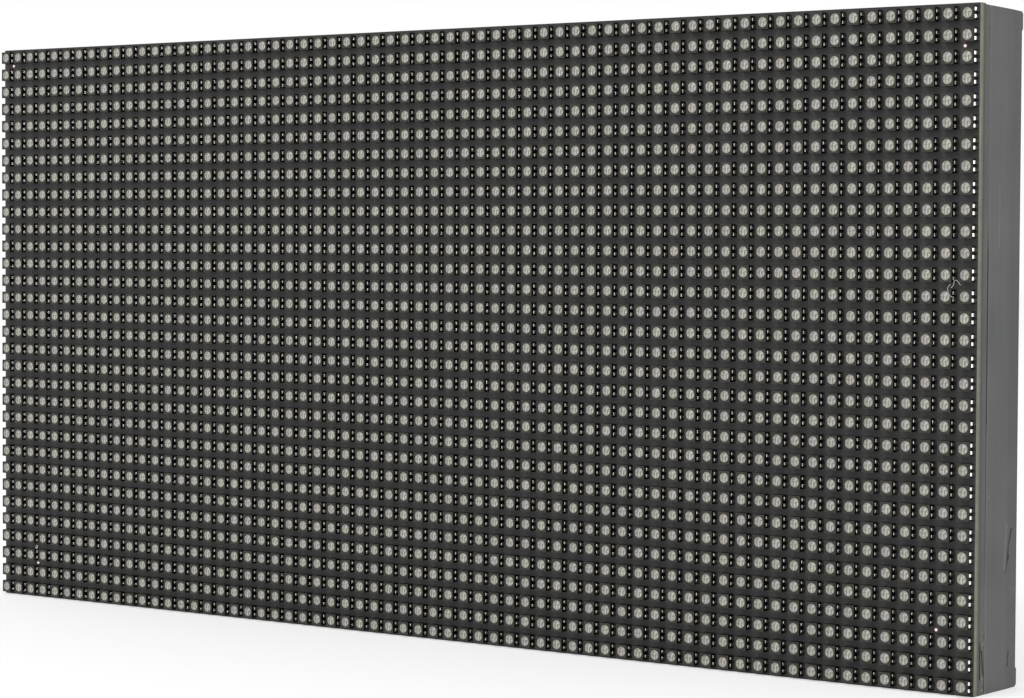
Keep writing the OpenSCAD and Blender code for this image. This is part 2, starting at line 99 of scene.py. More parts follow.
class Graph:
    """A material's node graph, with short calls for the nodes that the finishes use."""

    MIX_COLOURS = 6, 7
    MIX_RESULT = 2

    def __init__(self, name: str) -> None:
        """Makes an empty material.

        Args:
            name: The material's name.
        """
        self.material = bpy.data.materials.new(name)
        self.material.use_nodes = True
        self.tree = self.material.node_tree
        self.surface = self.tree.nodes["Principled BSDF"]
        self.coordinates = self.add("TexCoord")

    def add(self, kind: str, *values: Value | Sequence[float],
            **settings: str) -> bpy.types.Node:
        """Adds a shader node.

        Args:
            kind: Its type, without the words that all of them begin with.
            values: What to put in its first sockets, in order.
            settings: Its own settings.

        Returns:
            The node.
        """
        node = self.tree.nodes.new(f"ShaderNode{kind}")
        for name, setting in settings.items():
            setattr(node, name, setting)
        for socket, value in zip(node.inputs, values):
            self.put(socket, value)
        return node

    @property
    def place(self) -> Socket:
        """The point in the part's own frame, in metres."""
        return self.coordinates.outputs["Object"]

    @property
    def facing(self) -> Socket:
        """The surface's direction in the part's own frame."""
        return self.coordinates.outputs["Normal"]

    def put(self, socket: Socket, value: Value | Sequence[float]) -> None:
        """Links a socket to a value's socket, or sets it where the value is plain.

        Args:
            socket: The socket to feed.
            value: Another node's socket, a number, a colour or a vector.
        """
        if isinstance(value, Socket):
            self.tree.links.new(value, socket)
        elif socket.type == "RGBA":
            socket.default_value = (*value, 1.0)
        else:
            socket.default_value = value

    def set(self, name: str, value: Value | Sequence[float]) -> None:
        """Sets or links one of the surface's own sockets."""
        self.put(self.surface.inputs[name], value)

    def maths(self, operation: str, first: Value, second: Value = 0.0) -> Socket:
        """Returns the result of one arithmetic node."""
        return self.add("Math", first, second, operation=operation).outputs[0]

    def plus(self, first: Value, second: Value) -> Socket:
        """Returns the sum of two values."""
        return self.maths("ADD", first, second)

    def minus(self, first: Value, second: Value) -> Socket:
        """Returns the first value less the second."""
        return self.maths("SUBTRACT", first, second)

    def times(self, first: Value, second: Value) -> Socket:
        """Returns the product of two values."""
        return self.maths("MULTIPLY", first, second)

    def over(self, first: Value, second: Value) -> Socket:
        """Returns the first value divided by the second."""
        return self.maths("DIVIDE", first, second)

    def most(self, first: Value, second: Value) -> Socket:
        """Returns the greater of two values."""
        return self.maths("MAXIMUM", first, second)

    def gap(self, first: Value, second: Value) -> Socket:
        """Returns how far two values are from each other, either way."""
        return self.maths("ABSOLUTE", self.minus(first, second))

    def axes(self, vector: Socket) -> tuple[Socket, ...]:
        """Returns a vector's three parts."""
        return tuple(self.add("SeparateXYZ", vector).outputs)

    def vector(self, x: Value, y: Value, z: Value) -> Socket:
        """Returns the vector that three parts make."""
        return self.add("CombineXYZ", x, y, z).outputs[0]

    def reach(self, first: Value, second: Value) -> Socket:
        """Returns the length of a step that has these two parts."""
        step = self.vector(first, second, 0.0)
        return self.add("VectorMath", step, operation="LENGTH").outputs["Value"]

    def stretched(self, x: float, y: float, z: float) -> Socket:
        """Returns the place with each axis multiplied, which draws a pattern out."""
        unmoved = (0.0, 0.0, 0.0)
        return self.add("Mapping", self.place, unmoved, unmoved, (x, y, z)).outputs[0]

    def noise(self, size: float, detail: float, at: Socket | None = None) -> Socket:
        """Adds a cloudy pattern.

        Args:
            size: The size of its largest spots, in metres.
            detail: How many finer layers it has.
            at: Where to read it, or the place itself.

        Returns:
            The pattern's value, from 0 to 1.
        """
        return self.add("TexNoise", at or self.place, 0.0, 1 / size, detail).outputs["Fac"]

    def chance(self, cell: Socket) -> tuple[Socket, ...]:
        """Returns three random values from 0 to 1 that are the same all over one cell."""
        node = self.add("TexWhiteNoise", cell, noise_dimensions="3D")
        return self.axes(node.outputs["Color"])

    def between(self, value: Value, low: float, high: float,
                start: float = 0.0, end: float = 1.0) -> Socket:
        """Returns start below low and end above high, with a smooth step between them."""
        return self.add("MapRange", value, low, high, start, end,
                        interpolation_type="SMOOTHSTEP").outputs[0]

    def vary(self, pattern: Socket, start: float, end: float, spread: float = 0.2) -> Socket:
        """Returns a smooth step from start to end round the middle of a pattern."""
        return self.between(pattern, 0.5 - spread, 0.5 + spread, start, end)

    def front(self) -> Socket:
        """Returns 1 where the surface faces the way that the LEDs shine, and 0 elsewhere."""
        return self.between(self.axes(self.facing)[1], -0.8, -0.6, 1.0, 0.0)

    def mix(self, share: Value, first: Colour | Socket, second: Colour | Socket) -> Socket:
        """Mixes two colours.

        Args:
            share: How far to go from the first to the second, from 0 to 1.
            first: The first colour.
            second: The second colour.

        Returns:
            The mixed colour.
        """
        node = self.add("Mix", share, data_type="RGBA")
        for index, colour in zip(self.MIX_COLOURS, (first, second)):
            self.put(node.inputs[index], colour)
        return node.outputs[self.MIX_RESULT]

    def shade(self, colour: Colour | Socket, share: Value) -> Socket:
        """Returns a colour with that share of its brightness."""
        values = (colour, (0.0, 0.0, 0.0), (0.0, 0.0, 0.0), share)
        return self.add("VectorMath", *values, operation="SCALE").outputs[0]

    def bump(self, height: Socket, depth: float, under: Socket | None = None) -> Socket:
        """Adds a normal that a height pattern tilts.

        Args:
            height: The pattern, from 0 to 1.
            depth: The height that 1 stands for, in metres.
            under: Another bump's normal that this one lies on.

        Returns:
            The tilted normal.
        """
        node = self.add("Bump")
        self.put(node.inputs["Distance"], depth)
        self.put(node.inputs["Height"], height)
        if under:
            self.put(node.inputs["Normal"], under)
        return node.outputs[0]


@dataclass(frozen=True)
class Moulding:
    """A moulded or fired surface with a fine grain and slight unevenness in its colour."""

    name: str
    colour: Colour
    roughness: float = 0.5
    grain: float = 0.25 * MM
    grain_depth: float = 0.012 * MM
    unevenness: float = 0.1
    cloud: float = 9 * MM
    gloss_change: float = 0.06

    def material(self) -> bpy.types.Material:
        """Builds the finish.

        Returns:
            Its material.
        """
        g = Graph(self.name)
        cloud = g.noise(self.cloud, 5)
        level = g.plus(1 - self.unevenness, g.times(cloud, 2 * self.unevenness))
        g.set("Base Color", g.shade(self.colour, level))
        change = self.gloss_change
        g.set("Roughness", g.vary(cloud, self.roughness - change, self.roughness + change))
        g.set("Normal", g.bump(g.noise(self.grain, 2), self.grain_depth))
        return g.material


@dataclass(frozen=True)
class Plating:
    """Bare or plated metal with fine brushing and cloudy tarnish."""

    name: str
    colour: Colour
    roughness: float = 0.25
    tarnish: float = 0.25
    ripple: float = 0.08 * MM
    ripple_depth: float = 0.004 * MM
    cloud: float = 0.8 * MM
    dulled: float = 0.45
    gloss_change: float = 0.18

    def material(self) -> bpy.types.Material:
        """Builds the finish.

        Returns:
            Its material.
        """
        g = Graph(self.name)
        cloud = g.noise(self.cloud, 4)
        stain = g.between(cloud, 0.45, 0.8, 0.0, self.tarnish)
        dull = tuple(self.dulled * part for part in self.colour)
        g.set("Base Color", g.mix(stain, self.colour, dull))
        g.set("Metallic", 1.0)
        tarnished = self.roughness + self.gloss_change
        g.set("Roughness", g.between(cloud, 0.3, 0.8, self.roughness, tarnished))
        g.set("Normal", g.bump(g.noise(self.ripple, 2), self.ripple_depth))
        return g.material


@dataclass(frozen=True)
class Grid:
    """The grid that the LEDs stand on, and how far each point is from its own LED."""

    columns: int = 64
    rows: int = 32
    pitch: float = 3 * MM

    @property
    def left(self) -> float:
        """The left side of the first column's cells."""
        return -self.columns * self.pitch / 2

    @property
    def bottom(self) -> float:
        """The bottom of the first row's cells."""
        low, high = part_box("led_board")
        return (low.z + high.z - self.rows * self.pitch) / 2

    @property
    def package_half(self) -> Pair:
        """Half the width and half the length of one LED package."""
        low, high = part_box("led_packages_upper")
        return ((high.x - low.x - (self.columns - 1) * self.pitch) / 2,
                (high.z - low.z - (self.rows / 2 - 1) * self.pitch) / 2)

    def column(self, index: float) -> float:
        """Returns the X of a column's middle; a half index lies between two columns."""
        return self.left + (index + 0.5) * self.pitch

    def row(self, index: float) -> float:
        """Returns the Z of a row's middle, counted from the top."""
        return self.bottom + (self.rows - index - 0.5) * self.pitch

    def cell(self, g: Graph) -> tuple[Socket, Socket, Socket]:
        """Finds a point's own LED.

        Args:
            g: The graph to add the nodes to.

        Returns:
            The offsets from the LED's middle along X and Z, in metres, and the cell.
        """
        x, _, z = g.axes(g.place)
        offsets, indices = [], []
        for along, start in ((x, self.left), (z, self.bottom)):
            steps = g.over(g.minus(along, start), self.pitch)
            indices.append(g.maths("FLOOR", steps))
            offsets.append(g.times(g.minus(g.maths("FRACT", steps), 0.5), self.pitch))
        return offsets[0], offsets[1], g.vector(indices[0], indices[1], 0.0)


@dataclass(frozen=True)
class PackageFinish:
    """Black moulding compound: greyed and matt face, glossy sides darkened with painted shade.
    """

    grid: Grid
    name: str = "package_black"
    face: Colour = tone(57, 57, 52)
    warm_face: Colour = tone(61, 57, 52)
    # Part painted shade: the sides are black moulding, made darker still for the shade between
    # packages.
    side: Colour = tone(14, 14, 13)
    warmth: float = 0.8
    per_led: Pair = (0.86, 1.1)
    mottle: Pair = (0.84, 1.14)
    cloud: float = 0.45 * MM
    rim: float = 0.12 * MM
    rim_gain: float = 0.35
    rim_grain: float = 0.3 * MM
    grain: float = 0.12 * MM
    grain_depth: float = 0.008 * MM
    side_roughness: float = 0.4
    face_roughness: float = 0.62
    specular: float = 0.25

    def material(self) -> bpy.types.Material:
        """Builds the finish.

        Returns:
            Its material.
        """
        g = Graph(self.name)
        u, v, cell = self.grid.cell(g)
        pick, level, _ = g.chance(cell)
        face = g.mix(g.times(pick, self.warmth), self.face, self.warm_face)
        face = g.shade(face, g.between(level, 0.0, 1.0, *self.per_led))
        face = g.shade(face, g.vary(g.noise(self.cloud, 4), *self.mottle, 0.25))
        half_width, half_length = self.grid.package_half
        inside = g.maths("MINIMUM", g.minus(half_width, g.maths("ABSOLUTE", u)),
                         g.minus(half_length, g.maths("ABSOLUTE", v)))
        rim = g.between(inside, 0.0, self.rim, self.rim_gain, 0.0)
        face = g.shade(face, g.plus(1.0, g.times(rim, g.noise(self.rim_grain, 2))))
        # Surfaces that do not face front take the darker side colour, partly as painted shade.
        front = g.front()
        g.set("Base Color", g.mix(front, self.side, face))
        rough = g.between(front, 0.0, 1.0, self.side_roughness, self.face_roughness)
        g.set("Roughness", rough)
        g.set("Specular IOR Level", self.specular)
        g.set("Normal", g.bump(g.noise(self.grain, 2), self.grain_depth))
        return g.material


@dataclass(frozen=True)
class Spot:
    """A soft patch on every lens, placed and sized in lens radii."""

    right: float
    up: float
    width: float
    height: float
    gain: float

    def level(self, g: Graph, u: Socket, v: Socket) -> Socket:
        """Works out the brightness that the patch adds.

        Args:
            g: The graph to add the nodes to.
            u: The place across the lens.
            v: The place up the lens.

        Returns:
            The brightness to add there.
        """
        across = g.over(g.minus(u, self.right), self.width)
        along = g.over(g.minus(v, self.up), self.height)
        return g.between(g.reach(across, along), 0.4, 1.25, self.gain, 0.0)


@dataclass(frozen=True)
class LensFinish:
    """Cloudy resin with the lead frame's plates, slots and dies showing through it."""

    grid: Grid
    name: str = "lens_resin"
    resin: Colour = tone(174, 173, 166)
    green: Colour = tone(174, 176, 158)
    pink: Colour = tone(178, 169, 165)
    # Painted shade: the left rim of each lens is darkened, as the recess shades it.
    left_rim_shade: Colour = tone(112, 106, 112)
    right_rim: Colour = tone(170, 173, 138)
    radius: float = 0.75 * MM
    dish: float = 0.05 * MM
    shift: float = 0.14
    wobble: float = 0.28
    wobble_size: float = 0.4 * MM
    cloud: float = 0.22 * MM
    per_led: Pair = (0.95, 1.05)
    mottle: Pair = (0.86, 1.16)
    roughness: float = 0.42
    ior: float = 1.45
    plain: float = 0.72
    spots: tuple[Spot, ...] = (
        Spot(-0.66, 0.34, 0.28, 0.32, 0.22),
        Spot(-0.64, -0.42, 0.28, 0.32, 0.2),
        Spot(0.02, 0.16, 0.18, 0.3, 0.5),
        Spot(0.0, -0.45, 0.18, 0.42, 0.62),
        Spot(0.32, 0.52, 0.42, 0.32, 0.48),
        Spot(0.62, -0.3, 0.24, 0.45, 0.46),
        Spot(-0.32, 0.0, 0.12, 0.75, -0.2),
        Spot(0.3, -0.16, 0.1, 0.5, -0.26),
        Spot(-0.02, 0.6, 0.12, 0.16, -0.22),
        Spot(0.62, 0.08, 0.2, 0.1, -0.16),
        Spot(-0.64, -0.04, 0.24, 0.1, -0.14),
    )

    def material(self) -> bpy.types.Material:
        """Builds the finish.

        Returns:
            Its material.
        """
        g = Graph(self.name)
        u, v, cell = self.grid.cell(g)
        u, v = g.over(u, self.radius), g.over(v, self.radius)
        pick, level, chance = g.chance(cell)
        lean = g.minus(chance, 0.5)
        shift = g.times(lean, self.shift)
        wobble = g.times(g.minus(g.noise(self.wobble_size, 3), 0.5), self.wobble)
        across = g.plus(u, g.plus(shift, wobble))
        along = g.plus(v, g.minus(shift, wobble))
        light: Value = self.plain
        for spot in self.spots:
            light = g.plus(light, spot.level(g, across, along))
        light = g.times(light, g.vary(g.noise(self.cloud, 3), *self.mottle))
        light = g.times(light, g.between(level, 0.0, 1.0, *self.per_led))
        body = g.mix(g.between(pick, 0.0, 0.42, 0.45, 0.0), self.resin, self.green)
        body = g.mix(g.between(pick, 0.66, 1.0, 0.0, 0.45), body, self.pink)
        # Painted shade across the left rim of the lens.
        body = g.mix(g.between(u, -0.98, -0.7, 0.4, 0.0), body, self.left_rim_shade)
        body = g.mix(g.between(u, 0.5, 0.95, 0.0, 0.5), body, self.right_rim)
        g.set("Base Color", g.shade(body, light))
        g.set("Roughness", self.roughness)
        g.set("IOR", self.ior)
        bowl = g.times(g.maths("POWER", g.reach(u, v), 2), 0.8)
        g.set("Normal", g.bump(g.plus(bowl, g.times(u, lean)), self.dish))
        return g.material


@dataclass(frozen=True)
class BoardFinish:
    """Glass-fibre board: black mask on both faces, bare olive laminate on the edges."""

    grid: Grid
    name: str = "led_board_mask"
    mask: Colour = tone(46, 47, 43)
    mask_tint: Colour = tone(48, 45, 48)
    speck: Colour = tone(96, 96, 92)
    back: Colour = tone(34, 38, 36)
    trace: Colour = tone(48, 54, 50)
    laminate: Colour = tone(128, 130, 113)
    laminate_dark: Colour = tone(112, 114, 98)
    # Painted shade: the edge darkens and greys at the rear, next to the frame.
    laminate_shaded: Colour = tone(74, 75, 73)
    tin: Colour = tone(178, 180, 178)
    cloud: float = 3.5 * MM
    mottle: Pair = (0.8, 1.2)
    mottle_size: float = 0.5 * MM
    speck_size: float = 0.35 * MM
    speck_share: float = 0.6
    layer: float = 0.22 * MM
    scuffs: Pair = (0.86, 1.1)
    scuff_size: float = 1.2 * MM
    rear_shade_strip: Pair = (1.1 * MM, 0.2 * MM)
    trace_pitch: float = 0.75 * MM
    trace_height: float = 0.03 * MM
    trace_patch: float = 10 * MM
    via_aside: float = 0.9 * MM
    via_outside: Pair = (0.26 * MM, 0.32 * MM)
    via_inside: Pair = (0.1 * MM, 0.15 * MM)
    via_share: Pair = (0.55, 0.56)
    via_metal: float = 0.8
    grain: float = 0.15 * MM
    grain_depth: float = 0.006 * MM
    edge_roughness: float = 0.75
    mask_roughness: float = 0.45
    specular: float = 0.4

    def material(self) -> bpy.types.Material:
        """Builds the finish.

        Returns:
            Its material.
        """
        g = Graph(self.name)
        front, rear = g.front(), g.between(g.axes(g.facing)[1], 0.6, 0.8)
        traces, vias = self.copper(g)
        back = g.mix(vias, g.mix(traces, self.back, self.trace), self.tin)
        g.set("Base Color", g.mix(rear, g.mix(front, self.edge(g), self.face(g)), back))
        g.set("Metallic", g.times(rear, g.times(vias, self.via_metal)))
        rough = self.edge_roughness, self.mask_roughness
        g.set("Roughness", g.between(g.most(front, rear), 0.0, 1.0, *rough))
        g.set("Specular IOR Level", self.specular)
        raised = g.bump(g.times(rear, traces), self.trace_height)
        g.set("Normal", g.bump(g.noise(self.grain, 3), self.grain_depth, raised))
        return g.material

    def face(self, g: Graph) -> Socket:
        """Colours the front's mottled mask and its specks.

        Args:
            g: The graph to add the nodes to.

        Returns:
            The colour.
        """
        mask = g.mix(g.vary(g.noise(self.cloud, 5), 0.0, 1.0, 0.15), self.mask, self.mask_tint)
        mask = g.shade(mask, g.vary(g.noise(self.mottle_size, 4), *self.mottle, 0.25))
        specks = g.between(g.noise(self.speck_size, 1), 0.72, 0.78, 0.0, self.speck_share)
        return g.mix(specks, mask, self.speck)

    def edge(self, g: Graph) -> Socket:
        """Colours the sawn edge: thin layers, scuffs and a strip of painted shade at the rear.

        Args:
            g: The graph to add the nodes to.

        Returns:
            The colour.
        """
        layers = g.noise(self.layer, 2, g.stretched(0.03, 1.0, 0.03))
        scuffs = g.noise(self.scuff_size, 4, g.stretched(1.0, 0.3, 1.0))
        edge = g.mix(g.vary(layers, 0.0, 1.0, 0.15), self.laminate_dark, self.laminate)
        edge = g.shade(edge, g.vary(scuffs, *self.scuffs, 0.25))
        # Painted shade over the rear of the edge.
        start, end = (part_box("led_board")[1].y - inset for inset in self.rear_shade_strip)
        return g.mix(g.between(g.axes(g.place)[1], start, end), edge, self.laminate_shaded)

    def copper(self, g: Graph) -> tuple[Socket, Socket]:
        """Draws the copper under the back's mask.

        Args:
            g: The graph to add the nodes to.

        Returns:
            Where traces run, and where small plated holes open, each from 0 to 1.
        """
        x, _, z = g.axes(g.place)
        patches = g.noise(self.trace_patch, 0.0, g.stretched(1.0, 0.0, 0.22))
        upright = g.vary(patches, 0.0, 1.0, 0.02)
        line, level = (g.gap(g.maths("FRACT", g.over(along, self.trace_pitch)), 0.5)
                       for along in (x, z))
        pick = g.plus(g.times(line, upright), g.times(level, g.minus(1.0, upright)))
        u, v, cell = self.grid.cell(g)
        reach = g.reach(g.minus(u, self.via_aside), v)
        ring = g.times(g.between(reach, *self.via_outside, 1.0, 0.0),
                       g.between(reach, *self.via_inside))
        present = g.between(g.chance(cell)[0], *self.via_share)
        return g.between(pick, 0.16, 0.24, 1.0, 0.0), g.times(ring, present)


@dataclass(frozen=True)
class Scratch:
    """A crooked scratch on the right side wall, given in millimetres of depth and height."""

    start: Pair
    end: Pair
    half_width: float = 0.16
    strength: float = 0.8
    fade: float = 0.3

    def level(self, g: Graph, y: Socket, z: Socket) -> Socket:
        """Works out how strongly the scratch shows.

        Args:
            g: The graph to add the nodes to.
            y: The point's depth.
            z: The point's height.

        Returns:
            The strength on the scratch, and 0 away from it.
        """
        depth, height = ((last - first) * MM for first, last in zip(self.start, self.end))
        length = math.hypot(depth, height)
        back, up = g.minus(y, self.start[0] * MM), g.minus(z, self.start[1] * MM)
        along = g.plus(g.times(back, depth / length), g.times(up, height / length))
        aside = g.gap(g.times(back, height / length), g.times(up, depth / length))
        fade, half = self.fade * MM, self.half_width * MM
        inside = g.times(g.between(along, 0.0, fade),
                         g.between(along, length - fade, length, 1.0, 0.0))
        return g.times(inside, g.between(aside, 0.5 * half, half, self.strength, 0.0))


@dataclass(frozen=True)
class Streak:
    """Upright streaks: their width, how far they are drawn out, and how much they vary."""

    width: float
    drawn: float
    spread: float


@dataclass(frozen=True)
class FrameFinish:
    """Dark-grey moulded plastic: upright streaks, wear, scratches, painted light and shade."""

    name: str = "frame_moulding"
    colour: Colour = tone(78, 78, 77)
    cool: Colour = tone(73, 74, 75)
    # The lighter colour of wear, also used for the painted highlight behind the groove.
    scuff_and_highlight: Colour = tone(112, 112, 108)
    # Painted light: a light colour laid in the groove to cancel its shade.
    groove_light: Colour = tone(158, 158, 154)
    cloud: float = 14 * MM
    streaks: tuple[Streak, ...] = (Streak(1.1 * MM, 0.02, 0.06), Streak(3.0 * MM, 0.05, 0.04))
    lip: float = 1.2 * MM
    lip_shade: Pair = (0.1 * MM, 0.9)
    groove: float = 0.3 * MM
    # Painted shade: the band at the rear of the side walls is darkened as if it leaned away
    # from the light.
    painted_shade_band: Pair = (3.8 * MM, 2.8 * MM)
    painted_rear_shade: float = 0.8
    roughness: Pair = (0.5, 0.6)
    groove_light_fade: float = 6 * MM
    faint_from: float = 14 * MM
    shaded_from: float = 34 * MM
    shaded_to: float = 60 * MM
    faint_share: float = 0.4
    foot: Pair = (3 * MM, 7 * MM)
    foot_share: float = 0.6
    groove_light_patch: float = 2.5 * MM
    worn_foot: Pair = (9 * MM, 14 * MM)
    bend: float = 0.9 * MM
    bend_size: float = 1.5 * MM
    wave: float = 5 * MM
    wave_depth: float = 0.05 * MM
    grain: float = 0.22 * MM
    grain_depth: float = 0.014 * MM
    dark: tuple[Scratch, ...] = (
        Scratch((5.1, 22.8), (4.2, 20.4), 0.26, 0.9),
        Scratch((4.3, 21.0), (3.9, 17.8), 0.22, 0.9),
        Scratch((4.0, 18.4), (3.2, 16.2)),
        Scratch((4.3, 5.6), (4.2, 3.0), 0.24),
        Scratch((-3.6, 6.4), (-3.2, 3.8), 0.24, 1.0),
        Scratch((-3.3, 4.8), (-3.0, 2.2), 0.22, 0.9),
        Scratch((-4.05, 7.6), (-4.05, 2.0), 0.24, 1.0),
        Scratch((-2.9, 93.2), (-2.9, 91.2), 0.16, 1.0),
    )
    light: tuple[Scratch, ...] = (
        Scratch((3.5, 23.5), (3.0, 16.8)),
        Scratch((0.4, 71.0), (0.5, 62.0), 0.14, 0.5),
        Scratch((-1.9, 28.0), (-1.8, 26.9), 0.2),
    )

    def material(self) -> bpy.types.Material:
        """Builds the finish.

        Returns:
            Its material.
        """
        g = Graph(self.name)
        cloud = g.noise(self.cloud, 5)
        base = g.mix(g.vary(cloud, 0.0, 1.0), self.colour, self.cool)
        for streak in self.streaks:
            lines = g.noise(streak.width, 3, g.stretched(1.0, 1.0, streak.drawn))
            base = g.shade(base, g.vary(lines, 1 - streak.spread, 1 + streak.spread))
        low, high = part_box("rear_frame")
        _, y, z = g.axes(g.place)
        lip_rear = low.y + self.lip
        width, darker = self.lip_shade
        base = g.shade(base, g.between(y, lip_rear - width, lip_rear, darker, 1.0))
        # Painted shade on the rear band of the walls.
        start, end = (high.y - inset for inset in self.painted_shade_band)
        base = g.shade(base, g.between(y, start, end, 1.0, self.painted_rear_shade))
        # Painted light in the groove, which cancels its shade.
        base = g.mix(self.groove_painted_light(g, y, z, lip_rear), base, self.groove_light)
        # Wear and light scratches, with a painted highlight along the groove's rear edge.
        base = g.mix(self.wear_and_highlight(g, y, z, lip_rear), base, self.scuff_and_highlight)
        dark = self.scratches(g, y, z, self.dark)
        g.set("Base Color", g.shade(base, g.minus(1.0, dark)))
        g.set("Roughness", g.most(g.vary(cloud, *self.roughness), dark))
        waves = g.bump(g.noise(self.wave, 2), self.wave_depth)
        g.set("Normal", g.bump(g.noise(self.grain, 2), self.grain_depth, waves))
        return g.material

    def groove_painted_light(self, g: Graph, y: Socket, z: Socket, lip_rear: float) -> Socket:
        """Works out how much painted light fills the groove, all but its middle and its foot.

        Args:
            g: The graph to add the nodes to.
            y: The point's depth.
            z: The point's height.
            lip_rear: The depth at which the groove begins.

        Returns:
            The share of painted light, from 0 to 1.
        """
        half, fade = self.groove / 2, self.groove_light_fade
        inside = g.between(g.gap(y, lip_rear + half), half, half + 0.02 * MM, 1.0, 0.0)
        # Where the groove keeps its shade: its middle, partly lower down and partly at its
        # foot.
        middle = g.times(g.between(z, self.shaded_from, self.shaded_from + fade),
                         g.between(z, self.shaded_to, self.shaded_to + fade, 1.0, 0.0))
        rise = g.between(z, self.faint_from, self.faint_from + fade, 0.0, self.faint_share)
        lower = g.times(rise, g.between(z, self.shaded_from, self.shaded_from + fade, 1.0, 0.0))
        shaded = g.plus(g.plus(middle, lower), g.between(z, *self.foot, self.foot_share, 0.0))
        shaded = g.times(shaded, g.between(g.noise(self.groove_light_patch, 3), 0.3, 0.6, 0.8, 1.0))
        return g.times(inside, g.minus(1.0, shaded))

    def wear_and_highlight(self, g: Graph, y: Socket, z: Socket, lip_rear: float) -> Socket:
        """Works out rubbed wear by the groove, in specks and marks, and a painted edge
        highlight.

        Args:
            g: The graph to add the nodes to.
            y: The point's depth.
            z: The point's height.
            lip_rear: The depth at which the groove begins.

        Returns:
            The share of the lighter colour, for wear and the painted highlight, from 0 to 1.
        """
        near_lip = g.between(g.gap(y, lip_rear), 0.3 * MM, 1.0 * MM, 1.0, 0.0)
        foot = g.between(z, *self.worn_foot, 1.0, 0.0)
        rubs = g.between(g.noise(0.9 * MM, 4), 0.5, 0.62)
        specks = g.between(g.noise(0.5 * MM, 1), 0.74, 0.78, 0.0, 0.5)
        # Painted highlight: a thin lighter line along the groove's rear edge.
        edge = g.gap(y, lip_rear + self.groove + 0.15 * MM)
        edge_highlight = g.between(edge, 0.1 * MM, 0.35 * MM, 0.2, 0.0)
        worn_and_highlight = g.most(g.most(g.times(g.times(near_lip, foot), rubs), specks), edge_highlight)
        return g.most(worn_and_highlight, self.scratches(g, y, z, self.light))

    def scratches(self, g: Graph, y: Socket, z: Socket, marks: Sequence[Scratch]) -> Socket:
        """Works out where a set of scratches shows, on the right side wall alone.

        Args:
            g: The graph to add the nodes to.
            y: The point's depth.
            z: The point's height.
            marks: The scratches.

        Returns:
            The strength of the strongest one there.
        """
        bend = g.times(g.minus(g.noise(self.bend_size, 2), 0.5), self.bend)
        bent = g.plus(y, bend)
        total: Value = 0.0
        for mark in marks:
            total = g.most(total, mark.level(g, bent, z))
        return g.times(total, g.between(g.axes(g.facing)[0], 0.8, 0.9))


class Finish(Enum):
    """Every plain finish that a node or a new piece takes."""

    HEADER = Moulding("header_black", tone(34, 34, 35), 0.42)
    NYLON = Moulding("power_nylon", tone(226, 222, 206), 0.45, unevenness=0.05)
    CHIP = Moulding("chip_compound", tone(38, 38, 40), 0.55, 0.12 * MM, 0.01 * MM)
    RESISTOR = Moulding("resistor_glaze", tone(30, 30, 33), 0.25, 0.3 * MM, 0.004 * MM)
    CERAMIC = Moulding("fired_ceramic", tone(172, 138, 100), 0.55, 0.1 * MM, 0.006 * MM)
    INK = Moulding("polarity_ink", tone(24, 24, 26), 0.5, 0.2 * MM, 0.003 * MM)
    LINT = Moulding("cotton_lint", tone(205, 205, 200), 0.9, 0.05 * MM, 0.01 * MM)
    RING = Moulding("bare_laminate_ring", tone(92, 38, 22), 0.45, 0.1 * MM, 0.006 * MM)
    LEAD = Plating("burnished_tin", tone(244, 244, 241), 0.12, 0.0, 0.35 * MM, 0.014 * MM)
    LED_SOLDER = Plating("led_solder", tone(136, 136, 132), 0.3, 0.5, 0.4 * MM, 0.04 * MM)
    TIN = Plating("bright_tin", tone(214, 214, 210), 0.16)
    SOLDER = Plating("solder", tone(196, 197, 196), 0.24, 0.3, 0.25 * MM, 0.01 * MM)
    BRASS = Plating("brass", tone(206, 170, 96), 0.3, 0.35, 0.12 * MM, 0.01 * MM)
    GOLD = Plating("gold_flash", tone(222, 190, 112), 0.22, 0.1)
    ZINC = Plating("zinc_plate", tone(150, 150, 150), 0.32, 0.3, 0.15 * MM, 0.006 * MM)
    CAN = Plating("drawn_aluminium", tone(206, 208, 210), 0.3, 0.08, 0.1 * MM, 0.005 * MM)

    @property
    def material(self) -> bpy.types.Material:
        """The finish's material, made the first time that it is asked for."""
        known = bpy.data.materials.get(self.value.name)
        return known or self.value.material()


def dress(node: str, material: bpy.types.Material) -> None:
    """Gives a CAD node its finish in every material slot.

    Args:
        node: The CAD node's name.
        material: The finish.
    """
    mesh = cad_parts[node].data
    mesh.materials.clear()
    mesh.materials.append(material)
    log.info("dressed %s in %s", node, material.name)


# ---- Modelling helpers ------------------------------------------------------------


@dataclass(frozen=True)
class Box:
    """The box round one solid, in the part's frame."""

    low: Vector
    high: Vector

    @property
    def middle(self) -> Vector:
        """The box's middle."""
        return (self.low + self.high) / 2

    @property
    def size(self) -> Vector:
        """The box's three sizes."""
        return self.high - self.low


def solids(node: str) -> list[Box]:
    """Finds each separate solid of a CAD node.

    Args:
        node: The CAD node's name.

    Returns:
        The boxes of its solids, from left to right and from the bottom up.
    """
    bm = bmesh.new()
    bm.from_mesh(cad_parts[node].data)
    bmesh.ops.remove_doubles(bm, verts=bm.verts, dist=WELD)
    unseen = set(bm.verts)
    boxes = []
    while unseen:
        island, edge = set(), {unseen.pop()}
        while edge:
            vert = edge.pop()
            island.add(vert)
            edge |= {link.other_vert(vert) for link in vert.link_edges} - island
        unseen -= island
        points = [vert.co for vert in island]
        boxes.append(Box(Vector(map(min, zip(*points))), Vector(map(max, zip(*points)))))
    bm.free()
    return sorted(boxes, key=lambda box: [round(box.low[axis], DIGITS) for axis in (0, 2)])


